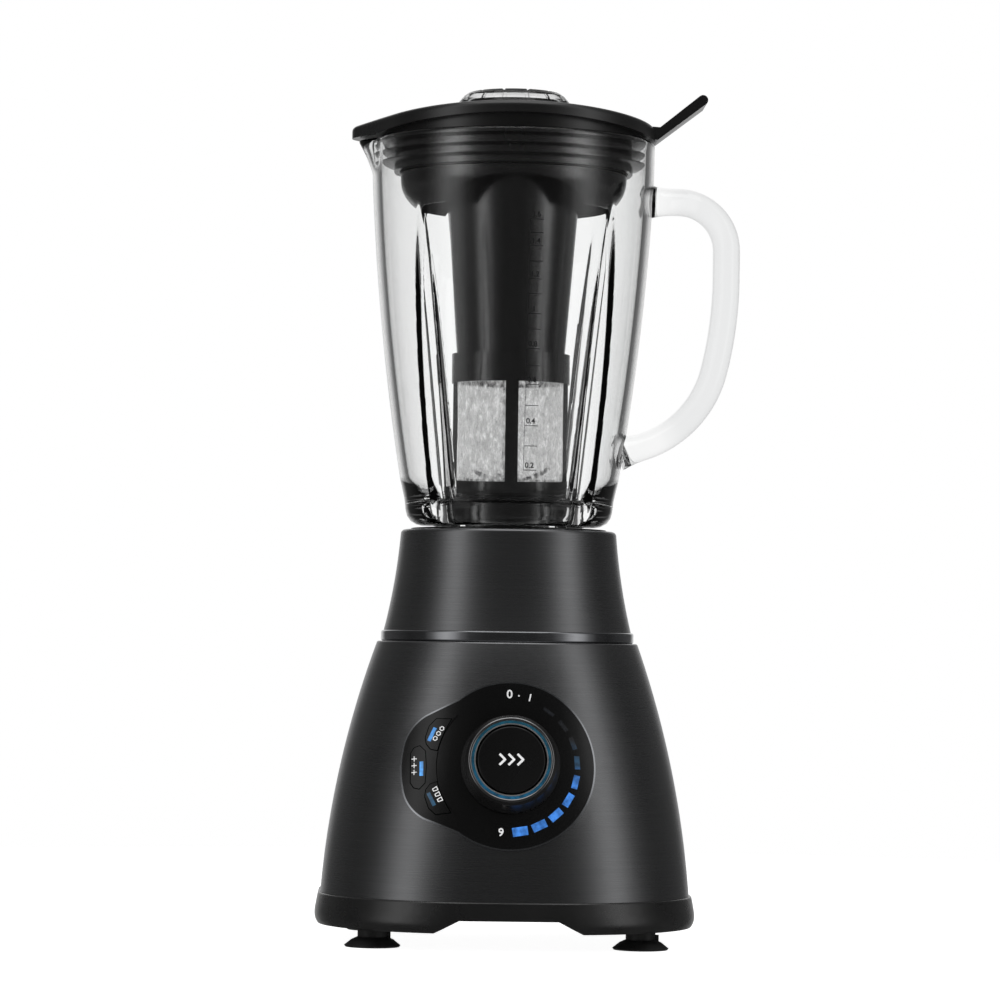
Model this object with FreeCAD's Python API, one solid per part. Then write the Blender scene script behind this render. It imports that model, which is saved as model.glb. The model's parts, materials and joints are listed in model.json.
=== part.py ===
import FreeCAD, Part
import math
import os

# Countertop blender.  Millimetres, +Z up, front of the appliance towards -Y,
# jug handle towards +X, pouring spout towards -X.
# The origin is where the motor axis meets the surface that the feet stand on.

V = FreeCAD.Vector
UP = V(0, 0, 1)
os.makedirs("parts", exist_ok=True)

# ---------------------------------------------------------------- driving dimensions
foot_pitch_x = 133.0        # between foot centres, side to side
foot_pitch_y = 120.0        # and front to back
foot_r = 14.0               # suction cup
foot_stem_r = 7.4

plinth_z0 = 9.0
plinth_z1 = 24.5
plinth_half = 96.0          # half of the widest plan size
plinth_corner = 0.80        # corner radius as a share of the half size
plinth_wall = 2.6
arch_rise = 6.4             # raised underside, front and back
arch_half_low = 36.7
arch_half_high = 24.4

body_z0 = 22.0              # lower housing, inside the plinth's lip
body_z1 = 151.5
body_half_low = 93.6
body_half_mid = 82.6
body_mid_z = 96.0
body_half_top = 66.4
body_corner_low = 0.84
body_corner_top = 0.95
body_wall = 2.0

ring_z1 = 157.0             # bright ring between the two housings
ring_half = 64.6

neck_z1 = 208.5             # top of the upper housing
neck_half_low = 63.2
neck_half_mid = 57.8
neck_mid_z = 184.0
neck_half_top = 55.0
neck_wall = 2.0
seat_r = 47.0               # well that receives the jug's collar
seat_wall = 2.4
seat_floor_z = 180.0

panel_z = 91.0              # centre height of the control panel
panel_lean = 12.6           # degrees that its face leans back
panel_r = 41.4
panel_proud = 1.2
panel_lobe_r = 53.3         # the lobe with the three keys, from the panel centre
groove_r = 36.4
panel_depth = 22.0          # the lobe wraps round the housing, so cuts run this deep
board_back = 18.0           # control board's back face behind the panel centre
led_count = 9
led_r = 33.0
knob_r = 24.4
knob_front = 15.6           # how far the knob stands out of the housing
turbo_r = 16.6

jug_z0 = 210.6
jug_rim_z = 408.0
jug_wall = 4.5
jug_heel_r = 52.6
jug_low_r = 56.0
jug_low_z = 234.5
jug_mid_r = 65.2
jug_mid_z = 300.0
jug_high_r = 72.3
jug_high_z = 388.0
jug_floor_z = 222.0
flute_angle = 42.0          # of the front flutes, each side of the front
neck_r = 38.0               # threaded glass neck under the jug
neck_bore_r = 31.0
neck_z0 = 199.0

handle_x = 110.2            # centre line of the grip
handle_top_z = 379.0
handle_half_t = 7.0
handle_half_w = 10.0

filter_tube_top_r = 34.6
filter_tube_low_r = 27.6
filter_tube_low_z = 299.0
filter_top_z = 390.6
filter_foot_z = 214.5
cage_r = 29.4
window_z0 = 231.0
window_z1 = 285.0

lid_z0 = 408.5              # underside of the lid's plug, just above the glass rim
lid_z1 = 421.0              # crown of the lid
lid_r = 72.6
lid_rim_z = 415.0           # underside of the rim at the front and back
lid_top_bend = 560.0        # bend radius of the top, which droops towards +X and -X
lid_under_bend = 435.0
lid_rim_round = 2.6
lid_plug_r = 67.9
lid_tab_half = 14.0
lid_beak_r = 12.0           # round tip of the beak
lid_beak_x = 71.2
filler_r = 28.4
lid_skirt_r = 58.8
lid_skirt_z = 391.0
lid_seal_r = 67.4

cap_r = 30.0
cap_top_z = 433.2

shaft_r = 4.0
fit = 0.05                  # radial clearance of a running fit
gap = 0.4                   # clearance between pieces that move past each other
motor_z0 = 78.0
motor_z1 = 120.0
rotor_r = 22.0


# ---------------------------------------------------------------- shape helpers
def save(name, shape):
    if isinstance(shape, list):
        shape = Part.makeCompound(shape)
    shape.exportStep("parts/" + name + ".step")


def disc(r, z0, z1, x=0.0, y=0.0):
    return Part.makeCylinder(r, z1 - z0, V(x, y, z0))


def ring(r_out, r_in, z0, z1, x=0.0, y=0.0):
    return disc(r_out, z0, z1, x, y).cut(disc(r_in, z0 - 1, z1 + 1, x, y))


def cone(r0, r1, z0, z1, x=0.0, y=0.0):
    return Part.makeCone(r0, r1, z1 - z0, V(x, y, z0))


def block(x0, x1, y0, y1, z0, z1):
    return Part.makeBox(x1 - x0, y1 - y0, z1 - z0, V(x0, y0, z0))


def fuse(shapes):
    shape = shapes[0].fuse(shapes[1:]) if len(shapes) > 1 else shapes[0]
    return shape.removeSplitter()


def turned(shape, degrees, axis=UP, centre=V(0, 0, 0)):
    copy = shape.copy()
    copy.rotate(centre, axis, degrees)
    return copy


def around(shape, count, first=0.0):
    return [turned(shape, first + 360.0 * i / count) for i in range(count)]


def line(a, b):
    return Part.LineSegment(a, b).toShape()


def arc(a, b, c):
    return Part.Arc(a, b, c).toShape()


def spin(edges):
    """Solid of revolution about the motor axis, from a closed outline in the XZ plane."""
    return Part.Face(Part.Wire(edges)).revolve(V(0, 0, 0), UP, 360)


def lathe(points):
    """Solid of revolution from straight runs between (radius, height) points."""
    corners = [V(r, 0, z) for r, z in points]
    return spin([line(corners[i - 1], corners[i]) for i in range(len(corners))])


def circle_through(p, q, s):
    """Centre and radius of the circle through three (height, half size) points."""
    (ax, ay), (bx, by), (cx, cy) = p, q, s
    d = 2 * (ax * (by - cy) + bx * (cy - ay) + cx * (ay - by))
    a2, b2, c2 = ax * ax + ay * ay, bx * bx + by * by, cx * cx + cy * cy
    ux = (a2 * (by - cy) + b2 * (cy - ay) + c2 * (ay - by)) / d
    uy = (a2 * (cx - bx) + b2 * (ax - cx) + c2 * (bx - ax)) / d
    return ux, uy, math.hypot(ax - ux, ay - uy)


def on_circle(z, centre, side):
    """Half size at height z on that circle, on its far (+1) or near (-1) side."""
    ux, uy, r = centre
    return uy + side * math.sqrt(r * r - (z - ux) ** 2)


def rounded_square(half, corner, z):
    """Closed plan outline: four straight sides joined by four round corners."""
    s = half - corner
    k = s + corner * math.cos(math.pi / 4)
    edges = []
    for i in range(4):
        quarter = FreeCAD.Rotation(UP, 90 * i)
        pts = [V(half, -s, 0), V(half, s, 0), V(k, k, 0), V(s, half, 0)]
        a, b, c, d = [quarter.multVec(p) + V(0, 0, z) for p in pts]
        edges += [line(a, b), arc(b, c, d)]
    return Part.Wire(edges)


def loft(sections):
    return Part.makeLoft(sections, True, False)


# ---------------------------------------------------------------- housing forms
body_circle = circle_through(
    (body_z0, body_half_low), (body_mid_z, body_half_mid), (body_z1, body_half_top)
)
neck_circle = circle_through(
    (ring_z1, neck_half_low), (neck_mid_z, neck_half_mid), (neck_z1, neck_half_top)
)


def body_half(z):
    return on_circle(z, body_circle, 1)


def body_form(offset, z0=body_z0, z1=body_z1):
    """Lower housing's form, grown outwards by offset."""
    sections = []
    steps = 5
    for i in range(steps + 1):
        z = z0 + (z1 - z0) * i / steps
        t = (z - body_z0) / (body_z1 - body_z0)
        share = body_corner_low + (body_corner_top - body_corner_low) * t
        half = body_half(z)
        sections.append(rounded_square(half + offset, half * share + offset, z))
    return loft(sections)


def neck_form(offset, z0, z1):
    sections = []
    steps = 4
    for i in range(steps + 1):
        z = z0 + (z1 - z0) * i / steps
        half = on_circle(z, neck_circle, -1)
        sections.append(rounded_square(half + offset, half * 0.965 + offset, z))
    return loft(sections)


# ---------------------------------------------------------------- panel frame
panel_y = -body_half(panel_z)


def on_panel(shape):
    """Puts a shape drawn flat (X right, Y up the slope, Z out) onto the panel."""
    copy = shape.copy()
    turn = FreeCAD.Rotation(V(1, 0, 0), 90 - panel_lean)
    copy.Placement = FreeCAD.Placement(V(0, panel_y, panel_z), turn).multiply(copy.Placement)
    return copy


def prism(wire, z0, z1):
    base = Part.Face(wire)
    base.translate(V(0, 0, z0))
    return base.extrude(V(0, 0, z1 - z0))


def skin(low, high):
    """Layer of the lower housing's form between two offsets."""
    return body_form(high, 40, 140).cut(body_form(low, 39, 141))


def panel_outline():
    """Round panel with the lobe of the three keys on its left."""
    low = V(-25.2, -32.8, 0)
    edges = [arc(low, V(panel_r, 0, 0), V(low.x, -low.y, 0))]
    path = [
        V(-25.2, 32.8, 0), V(-41.6, 25.6, 0), V(-49.3, 18.2, 0), V(-52.4, 9.4, 0),
        V(-panel_lobe_r, 0, 0),
    ]
    upper = [line(path[0], path[1]), arc(path[1], path[2], path[3])]
    lower = [edge.mirror(V(0, 0, 0), V(0, 1, 0)) for edge in upper]
    outer = arc(path[3], path[4], V(path[3].x, -path[3].y, 0))
    edges += upper + [outer] + lower[::-1]
    return Part.Wire(Part.__sortEdges__(edges))


def side_key_outline(sign):
    """Key beside the round groove: sign +1 is the upper one, -1 the lower one."""
    pts = [(-36.4, 24.0), (-39.8, 20.6), (-41.7, 14.8), (-41.2, 11.6), (-39.2, 8.9)]
    first = V(-29.2, 23.4 * sign, 0)
    last = V(-36.0, 8.0 * sign, 0)
    middle_angle = math.radians(180 - 27 * sign)
    r = math.hypot(last.x, last.y)
    inner = V(r * math.cos(middle_angle), r * math.sin(middle_angle), 0)
    path = [first] + [V(x, y * sign, 0) for x, y in pts] + [last]
    edges = [line(path[i], path[i + 1]) for i in range(len(path) - 1)]
    edges.append(arc(last, inner, first))
    return Part.Wire(edges)


def middle_key_outline():
    half = [(-44.6, 10.8), (-41.9, 8.0), (-41.4, 0), (-41.9, -8.0), (-44.6, -10.8)]
    outer = [(-47.2, -10.0), (-48.8, -7.4), (-48.8, 7.4), (-47.2, 10.0)]
    pts = [V(x, y, 0) for x, y in half + outer]
    return Part.Wire([line(pts[i - 1], pts[i]) for i in range(len(pts))])


def led_prism(i):
    """Bar of the speed scale; the bars widen from the slowest to the fastest."""
    t = i / (led_count - 1.0)
    radial = 1.6 + 2.8 * t
    length = 6.0 + 1.6 * t
    bar = block(-radial / 2, radial / 2, -length / 2, length / 2, -panel_depth, 4)
    bar.translate(V(led_r, 0, 0))
    return on_panel(turned(bar, 55.5 - 17.1 * i))


def key_outlines():
    return {
        "crush": side_key_outline(1),
        "clean": middle_key_outline(),
        "smoothie": side_key_outline(-1),
    }


key_bar_places = {"crush": (-38.6, 16.2, -25), "clean": (-43.6, -0.8, 0), "smoothie": (-38.6, -16.4, 25)}


def key_bar(name):
    """Light bar in a key's face."""
    x, y, turn = key_bar_places[name]
    bar = block(-0.9, 0.9, -3.6, 3.6, -panel_depth, 5)
    bar = turned(bar, turn)
    bar.translate(V(x, y, 0))
    return on_panel(bar)


# ---------------------------------------------------------------- base
def make_plinth():
    def form(offset, z0, z1, top_half):
        mid = (z0 + z1) / 2.0
        halves = [(z0, plinth_half - 1.6), (z0 + 4, plinth_half), (mid + 3, plinth_half - 0.6),
                  (z1, top_half)]
        return loft([
            rounded_square(h + offset, plinth_half * plinth_corner + offset, z) for z, h in halves
        ])

    def arch(grow):
        low, high = arch_half_low + grow, arch_half_high + grow
        z_low, z_high = plinth_z0 - 3, plinth_z0 + arch_rise + grow
        pts = [V(-low, -120, z_low), V(-low, -120, plinth_z0 + grow * 0.4), V(-high, -120, z_high),
               V(high, -120, z_high), V(low, -120, plinth_z0 + grow * 0.4), V(low, -120, z_low)]
        wire = Part.Wire([line(pts[i - 1], pts[i]) for i in range(len(pts))])
        return Part.Face(wire).extrude(V(0, 240, 0))

    outer = form(0, plinth_z0, plinth_z1, plinth_half - 1.4)
    rim = [e for e in outer.Edges if abs(e.CenterOfMass.z - plinth_z1) < 0.01]
    outer = outer.makeFillet(1.0, rim)
    cavity = loft([
        rounded_square(plinth_half - 6.0, plinth_half * plinth_corner - 6.0, z)
        for z in (plinth_z0 + plinth_wall, plinth_z1 + 3)
    ]).cut(arch(plinth_wall))
    rebate = body_form(0.0, body_z0, body_z0 + 6)
    body = outer.cut(arch(0)).cut(cavity).cut(rebate)
    slots = []
    for i in range(9):
        for side in (-1, 1):
            slot = block(-1.6, 1.6, 4, 30, 0, 30)
            slot.translate(V(-28 + 7 * i, 0, 0))
            slots.append(turned(slot, 90 - 90 * side))
    bosses = []
    for x, y in foot_places():
        bosses.append(disc(10.5, plinth_z0, plinth_z0 + 8, x, y))
    body = fuse([body] + bosses)
    for x, y in foot_places():
        body = body.cut(disc(foot_stem_r, plinth_z0 - 1, plinth_z0 + 6, x, y))
    for x, y in screw_places():
        body = body.cut(disc(2.0, 0, 40, x, y))
        body = body.cut(disc(4.2, 0, plinth_z0 + 1.2, x, y))
    return body.cut(Part.makeCompound(slots))


def corners(half_x, half_y):
    return [(x, y) for x in (-half_x, half_x) for y in (-half_y, half_y)]


def foot_places():
    return corners(foot_pitch_x / 2, foot_pitch_y / 2)


def screw_places():
    return corners(52, 44)


def make_feet():
    """Suction cups: flared rubber lip under a stem with a pull lug."""
    profile = [
        V(0, 0, 3.0), V(8.0, 0, 1.6), V(foot_r - 1.8, 0, 0), V(foot_r - 0.6, 0, 0), V(foot_r, 0, 0.8),
        V(foot_r - 3.5, 0, 3.6), V(foot_stem_r, 0, 5.0), V(foot_stem_r, 0, 15.0), V(0, 0, 15.0),
    ]
    cup = spin([line(profile[i - 1], profile[i]) for i in range(len(profile))])
    feet = []
    for x, y in foot_places():
        foot = cup.copy()
        foot.translate(V(x, y, 0))
        lug = block(foot_stem_r - 0.5, foot_stem_r + 1.6, -1.2, 1.2, 4.4, 7.4)
        lug.translate(V(x, y, 0))
        feet.append(fuse([foot, lug]))
    return feet


def make_lower_housing():
    shell = body_form(0).cut(body_form(-body_wall, body_z0 - 0.01, body_z1 + 0.01))
    roof = body_form(0, body_z1 - 2.4, body_z1).cut(disc(54, body_z1 - 5, body_z1 + 2))
    shell = fuse([shell, roof])
    opening = on_panel(prism(panel_outline().makeOffset2D(0.8), -panel_depth, 8))
    gland = Part.makeCylinder(8.0, 30, V(0, body_half(36) - 12, 36), V(0, 1, 0))
    middle = Part.Vertex(0, 0, body_z1)
    level = [e for e in shell.Edges if abs(e.CenterOfMass.z - body_z1) < 0.05]
    top = [e for e in level if e.BoundBox.XLength > 0 and e.distToShape(middle)[0] > 60]
    shell = shell.makeFillet(1.2, top)
    return shell.cut(opening).cut(gland)


def make_chrome_ring():
    outer = loft([rounded_square(ring_half, ring_half * 0.96, z) for z in (body_z1, ring_z1)])
    edges = [e for e in outer.Edges if abs(e.BoundBox.ZMax - e.BoundBox.ZMin) < 0.01]
    return outer.makeFillet(1.1, edges).cut(disc(56, body_z1 - 1, ring_z1 + 1))


def make_upper_housing():
    outer = neck_form(0, ring_z1, neck_z1)
    top = [e for e in outer.Edges if e.BoundBox.ZMin > neck_z1 - 0.05]
    outer = outer.makeFillet(2.2, top)
    inner = neck_form(-neck_wall, ring_z1 - 0.5, neck_z1 - 2.4)
    return outer.cut(inner).cut(disc(seat_r, neck_z1 - 8, neck_z1 + 2))


def make_jug_seat():
    """Well in the top of the base, with a floor, a drain lip and a hole for the drive."""
    body = ring(seat_r, seat_r - seat_wall, seat_floor_z, neck_z1 + 0.4)
    lip = ring(seat_r + 3.0, seat_r - 1, neck_z1, neck_z1 + 0.8)
    floor = ring(seat_r - 1, 19.0, seat_floor_z, seat_floor_z + 3)
    collar = ring(22.0, 19.0, seat_floor_z, seat_floor_z + 5)
    keys = []
    for i in range(4):
        key = block(seat_r - 3.8, seat_r - 1, -3, 3, seat_floor_z + 1, neck_z1 - 6)
        keys.append(turned(key, 45 + 90 * i))
    guide = ring(5.0, 2.5 + gap, seat_floor_z - 3, seat_floor_z + 1, 0, 34)
    body = fuse([body, lip, floor, collar, guide] + keys)
    return body.cut(disc(2.5 + gap, seat_floor_z - 8, seat_floor_z + 8, 0, 34))


# ---------------------------------------------------------------- control panel
def make_fascia():
    body = on_panel(prism(panel_outline(), -panel_depth, 8)).common(skin(-1.6, panel_proud))
    for outline in key_outlines().values():
        body = body.cut(on_panel(prism(outline.makeOffset2D(gap), -panel_depth, 9)))
    for i in range(led_count):
        body = body.cut(led_prism(i))
    groove = ring(groove_r + 0.1, groove_r - 0.6, -panel_depth, 8)
    groove = groove.common(block(-60, -26, -26, 26, -20, 8))
    body = body.cut(on_panel(groove).common(skin(panel_proud - 0.6, 6)))
    return body.cut(on_panel(disc(8.0 + gap, -14, 14)))


def make_panel_trim():
    outline = panel_outline()
    band = prism(outline.makeOffset2D(0.8), -panel_depth, 8).cut(prism(outline, -panel_depth, 9))
    return on_panel(band).common(skin(-1.6, 0.7))


def make_leds():
    layer = skin(0.2, panel_proud + 0.05)
    return [led_prism(i).common(layer) for i in range(led_count)]


def make_key(name, outline):
    """Key cap with a stem behind it that reaches a switch on the board."""
    cap = on_panel(prism(outline, -panel_depth, 8)).common(skin(-1.2, panel_proud + 0.35))
    x, y, _ = key_bar_places[name]
    stem = on_panel(disc(2.0, 3.2 - board_back, 1.0, x, y)).common(body_form(-0.4, 40, 140))
    return fuse([cap, stem]).cut(key_bar(name).common(skin(-0.2, 8)))


def make_key_light(name):
    return key_bar(name).common(skin(-0.2, panel_proud + 0.4))


def make_knob():
    """Hollow speed knob with a finely serrated skirt and a tube to the encoder."""
    back = panel_proud + 0.6
    profile = [
        V(8.0, 0, -board_back - 4), V(8.0, 0, back), V(knob_r, 0, back), V(knob_r, 0, back + 2.2),
        V(knob_r - 2.0, 0, knob_front - 1.6), V(knob_r - 3.2, 0, knob_front - 0.6),
        V(turbo_r + 0.9, 0, knob_front - 0.6), V(turbo_r + 0.9, 0, back + 2.4),
        V(6.4, 0, back + 2.4), V(6.4, 0, -board_back - 4),
    ]
    edges = [line(profile[i - 1], profile[i]) for i in range(len(profile))]
    body = spin(edges)
    ring_cut = ring(21.2, 17.5, knob_front - 1.4, knob_front + 1)
    body = body.cut(ring_cut)
    notch = disc(0.5, back - 1, back + 2.6, knob_r + 0.12, 0)
    notches = Part.makeCompound(around(notch, 60))
    return on_panel(body.cut(notches))


def make_knob_rings():
    z0 = knob_front - 1.4
    trim = spin([
        line(V(19.4, 0, z0), V(21.2, 0, z0)), line(V(21.2, 0, z0), V(21.2, 0, knob_front - 0.6)),
        arc(V(21.2, 0, knob_front - 0.6), V(20.3, 0, knob_front + 0.1), V(19.4, 0, knob_front - 0.6)),
        line(V(19.4, 0, knob_front - 0.6), V(19.4, 0, z0)),
    ])
    light = ring(19.4, 18.1, z0, knob_front - 0.5)
    inner = ring(18.1, 17.5, z0, knob_front - 0.2)
    return on_panel(trim), on_panel(light), on_panel(inner)


def make_turbo():
    face = disc(turbo_r, knob_front - 3.0, knob_front + 0.2)
    rim = [e for e in face.Edges if abs(e.CenterOfMass.z - knob_front - 0.2) < 0.01]
    face = face.makeFillet(0.8, rim)
    stem = disc(4.2, -board_back - 4, knob_front - 2.5)
    return on_panel(fuse([face, stem]))


def make_turbo_spring():
    """Return spring round the button's stem."""
    radius, wire_r, pitch = 5.4, 0.35, 1.7
    helix = Part.makeHelix(pitch, 5.1, radius)
    section = Part.Wire(Part.makeCircle(wire_r, V(radius, 0, 0), V(0, 1, 0)))
    coil = Part.Wire(helix.Edges).makePipeShell([section], True, True)
    coil.translate(V(0, 0, knob_front - 3.0 - 5.6))
    return on_panel(coil)


def make_control_board():
    front = 1.6 - board_back
    board = block(-48, 34, -28, 28, -board_back, front).cut(disc(9.6, -30, 0))
    switches = [
        block(x - 3, x + 3, y - 3, y + 3, front, front + 0.6) for x, y, _ in key_bar_places.values()
    ]
    return on_panel(fuse([board] + switches))


def make_encoder():
    can = disc(11.0, -board_back - 12, -board_back - 0.2)
    socket = disc(8.0 + gap, -board_back - 4.6, 0)
    stem_hole = disc(4.2 + gap, -board_back - 7, 0)
    return on_panel(can.cut(socket).cut(stem_hole))


# ---------------------------------------------------------------- motor and drive
def make_stator():
    """Laminated yoke of the series motor, with two salient poles along X."""
    yoke = prism(rounded_square(42, 16, 0), motor_z0, motor_z1)
    yoke = yoke.cut(prism(rounded_square(37, 14, 0), motor_z0 - 1, motor_z1 + 1))
    poles = block(-40, 40, -15, 15, motor_z0, motor_z1)
    poles = poles.fuse(ring(27, rotor_r, motor_z0, motor_z1).common(
        block(-40, 40, -20, 20, motor_z0, motor_z1)))
    poles = poles.cut(disc(rotor_r + 0.8, motor_z0 - 1, motor_z1 + 1))
    keep = yoke.fuse(poles).cut(disc(rotor_r + 0.8, motor_z0 - 1, motor_z1 + 1))
    return keep.removeSplitter()


def make_coils():
    """Field winding round each pole."""
    coils = []
    for side in (0, 180):
        outer = block(28, 36, -19, 19, motor_z0 - 6, motor_z1 + 6)
        hole = block(26, 38, -15.2, 15.2, motor_z0 - 0.2, motor_z1 + 0.2)
        edges = [e for e in outer.Edges if abs(e.BoundBox.XMax - e.BoundBox.XMin - 8) < 0.01]
        coil = outer.makeFillet(3, edges).cut(hole)
        coils.append(turned(coil, side))
    return coils


def make_bracket(z0, z1, bearing_r, reach, hub_below):
    """Bridge across the motor that holds a bearing."""
    bridge = block(-8, 8, -reach, reach, z0, z1)
    hub = disc(bearing_r + 4, z0 - hub_below, z1 + 3)
    ends = [disc(8, z0, z1, 0, y) for y in (-reach, reach)]
    body = fuse([bridge, hub] + ends)
    body = body.cut(disc(bearing_r, z0 - 5, z1 + 5))
    for y in (-reach, reach):
        body = body.cut(disc(3.0, z0 - 5, z1 + 5, 0, y))
    return body


def make_rotor_core():
    core = disc(rotor_r - 0.3, motor_z0, motor_z1)
    slot = block(12, rotor_r + 2, -1.2, 1.2, motor_z0 - 1, motor_z1 + 1)
    windings = [disc(16, motor_z0 - 5, motor_z0), disc(16, motor_z1, motor_z1 + 5)]
    core = core.cut(Part.makeCompound(around(slot, 12)))
    return fuse([core] + windings).cut(disc(shaft_r, motor_z0 - 8, motor_z1 + 8))


def make_commutator():
    drum = ring(12, shaft_r, 57, 70)
    slit = block(10.8, 13, -0.3, 0.3, 56, 69)
    return drum.cut(Part.makeCompound(around(slit, 24)))


def make_fan():
    hub = ring(9, shaft_r, 34, 43)
    plate = ring(36, 8, 41.5, 43)
    blade = block(9, 35.4, -0.8, 0.8, 34, 42)
    return fuse([hub, plate] + around(turned(blade, 14, UP, V(9, 0, 0)), 11))


def star(core_r, tip_r, half_w, z0, z1):
    arm = block(0, tip_r, -half_w, half_w, z0, z1)
    return fuse([disc(core_r, z0, z1)] + around(arm, 6))


def make_drive_coupler():
    body = disc(16.6, 160, 182)
    return body.cut(star(9.5, 14.2, 3.0, 168, 190)).cut(disc(shaft_r, 158, 170))


def make_driven_coupler():
    dog = star(9.0, 13.7, 2.5, 169.5, 184.4)
    flange = disc(15, 184.4, 188)
    return fuse([dog, flange]).cut(disc(shaft_r, 172, 190))


def make_brushes():
    """Carbon brush carriers each side of the commutator."""
    holder = block(12.6, 30, -4, 4, 59, 68).cut(block(12, 27, -2.6, 2.6, 60.4, 66.6))
    return [turned(holder, 90), turned(holder, 270)]


def make_carbons():
    carbon = block(12.2, 25, -2.5, 2.5, 60.5, 66.5)
    return [turned(carbon, 90), turned(carbon, 270)]


def make_bushes():
    """Rubber bushes that the brackets hang on."""
    bushes = []
    for reach, z0, z1 in ((46, 127, 133), (44, 47, 53)):
        for y in (-reach, reach):
            bushes.append(ring(3.0, 1.6, z0 - 2, z1 + 2, 0, y))
    return bushes


def make_duct():
    """Air duct from the fan down to the slots in the plinth."""
    return ring(41, 39, plinth_z0 + arch_rise + plinth_wall + 0.4, 46)


def make_power_board():
    board = block(-34, 34, 58.4, 60, 62, 118)
    parts = [board, block(-20, 2, 60, 70, 70, 92), disc(7, 0, 18)]
    parts[2].Placement = FreeCAD.Placement(V(18, 60, 84), FreeCAD.Rotation(V(1, 0, 0), -90))
    return fuse(parts)


def make_interlock_switch():
    return block(-8, 8, 28, 40, 160, 170.5)


def make_plunger():
    pin = disc(2.5, 172.0, 188.6, 0, 34)
    head = disc(3.8, 171.0, 172.5, 0, 34)
    return fuse([pin, head])


def make_screws():
    screws = []
    for x, y in screw_places():
        head = disc(3.8, plinth_z0 - 0.4, plinth_z0 + 1.2, x, y)
        head = head.cut(block(x - 2.6, x + 2.6, y - 0.5, y + 0.5, 0, plinth_z0 + 0.4))
        screws.append(fuse([head, disc(1.9, plinth_z0 + 1.2, plinth_z0 + 13, x, y)]))
    return screws


def make_gland():
    """Cable inlet in the back of the lower housing."""
    y = body_half(36)
    body = Part.makeCylinder(8.0, 9.5, V(0, y - 6, 36), V(0, 1, 0))
    flange = Part.makeCylinder(10.5, 2.0, V(0, y + 1.5, 36), V(0, 1, 0))
    sleeve = Part.makeCone(6.4, 5.0, 6, V(0, y + 3, 36), V(0, 1, 0))
    bore = Part.makeCylinder(3.6, 40, V(0, y - 12, 36), V(0, 1, 0))
    return fuse([body, flange, sleeve]).cut(bore)


# ---------------------------------------------------------------- jug
jug_circle = circle_through(
    (jug_low_z, jug_low_r), (jug_mid_z, jug_mid_r), (jug_high_z, jug_high_r)
)


def jug_radius(z):
    return on_circle(z, jug_circle, 1)


def jug_form(inset, floor_z, heel):
    """The jug's tapering round form, drawn in from its outside by inset."""
    low = V(jug_low_r - inset, 0, jug_low_z)
    high = V(jug_high_r - inset, 0, jug_high_z)
    rim = V(jug_high_r + 0.3 - inset, 0, jug_rim_z)
    base = V(jug_heel_r - inset - heel, 0, floor_z)
    bulge = V(jug_heel_r - inset + 0.4, 0, floor_z + heel)
    turn = V(jug_heel_r - inset - heel * 0.28, 0, floor_z + heel * 0.3)
    mid = V(jug_radius(jug_mid_z) - inset, 0, jug_mid_z)
    foot, top = V(0, 0, floor_z), V(0, 0, jug_rim_z)
    return spin([
        line(foot, base), arc(base, turn, bulge), line(bulge, low), arc(low, mid, high),
        line(high, rim), line(rim, top), line(top, foot),
    ])


def flute(radius, out):
    """Tapered rod that presses one flute into the glass."""
    low_z, high_z = 206.0, 372.0
    low = V(jug_radius(low_z) + out, 0, low_z)
    high = V(jug_radius(high_z) + out + 1.75, 0, high_z)
    axis = high - low
    rod = Part.makeCone(radius, radius * 0.75, axis.Length, low, axis)
    cap_end = Part.makeSphere(radius * 0.75, high)
    return rod.fuse(cap_end)


def handle_path():
    """Centre line of the grip: top run, shoulder, long grip, lower sweep."""
    shoulder, grip, sweep = 25.0, 200.0, 55.0
    grip_turn, sweep_turn = 14.0, 75.0
    grip_z = 340.0

    def on(centre, r, degrees):
        a = math.radians(degrees)
        return V(centre.x + r * math.cos(a), 0, centre.z - r * math.sin(a))

    c1 = V(handle_x - shoulder, 0, handle_top_z - shoulder)
    start = V(69.0, 0, handle_top_z)
    p1, p1m, p2 = on(c1, shoulder, -90), on(c1, shoulder, -45), on(c1, shoulder, 0)
    c2 = V(handle_x - grip, 0, grip_z)
    p3, p3m, p4 = on(c2, grip, 0), on(c2, grip, grip_turn / 2), on(c2, grip, grip_turn)
    inward = (c2 - p4).normalize()
    c3 = p4 + inward * sweep
    p4m = on(c3, sweep, (grip_turn + sweep_turn) / 2)
    p5 = on(c3, sweep, sweep_turn)
    a = math.radians(sweep_turn)
    p6 = p5 + V(-math.sin(a), 0, -math.cos(a)) * 9.0
    return Part.Wire([
        line(start, p1), arc(p1, p1m, p2), line(p2, p3), arc(p3, p3m, p4), arc(p4, p4m, p5),
        line(p5, p6),
    ])


def make_handle():
    section = Part.Ellipse(V(0, 0, 0), handle_half_w, handle_half_t).toShape()
    wire = Part.Wire(section)
    # long axis of the ellipse along Y, its normal along the top run (+X)
    turn = FreeCAD.Rotation(V(0, 1, 0), V(0, 0, 1), V(1, 0, 0), "ZXY")
    wire.Placement = FreeCAD.Placement(V(69.0, 0, handle_top_z), turn)
    return handle_path().makePipeShell([wire], True, False)


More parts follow.
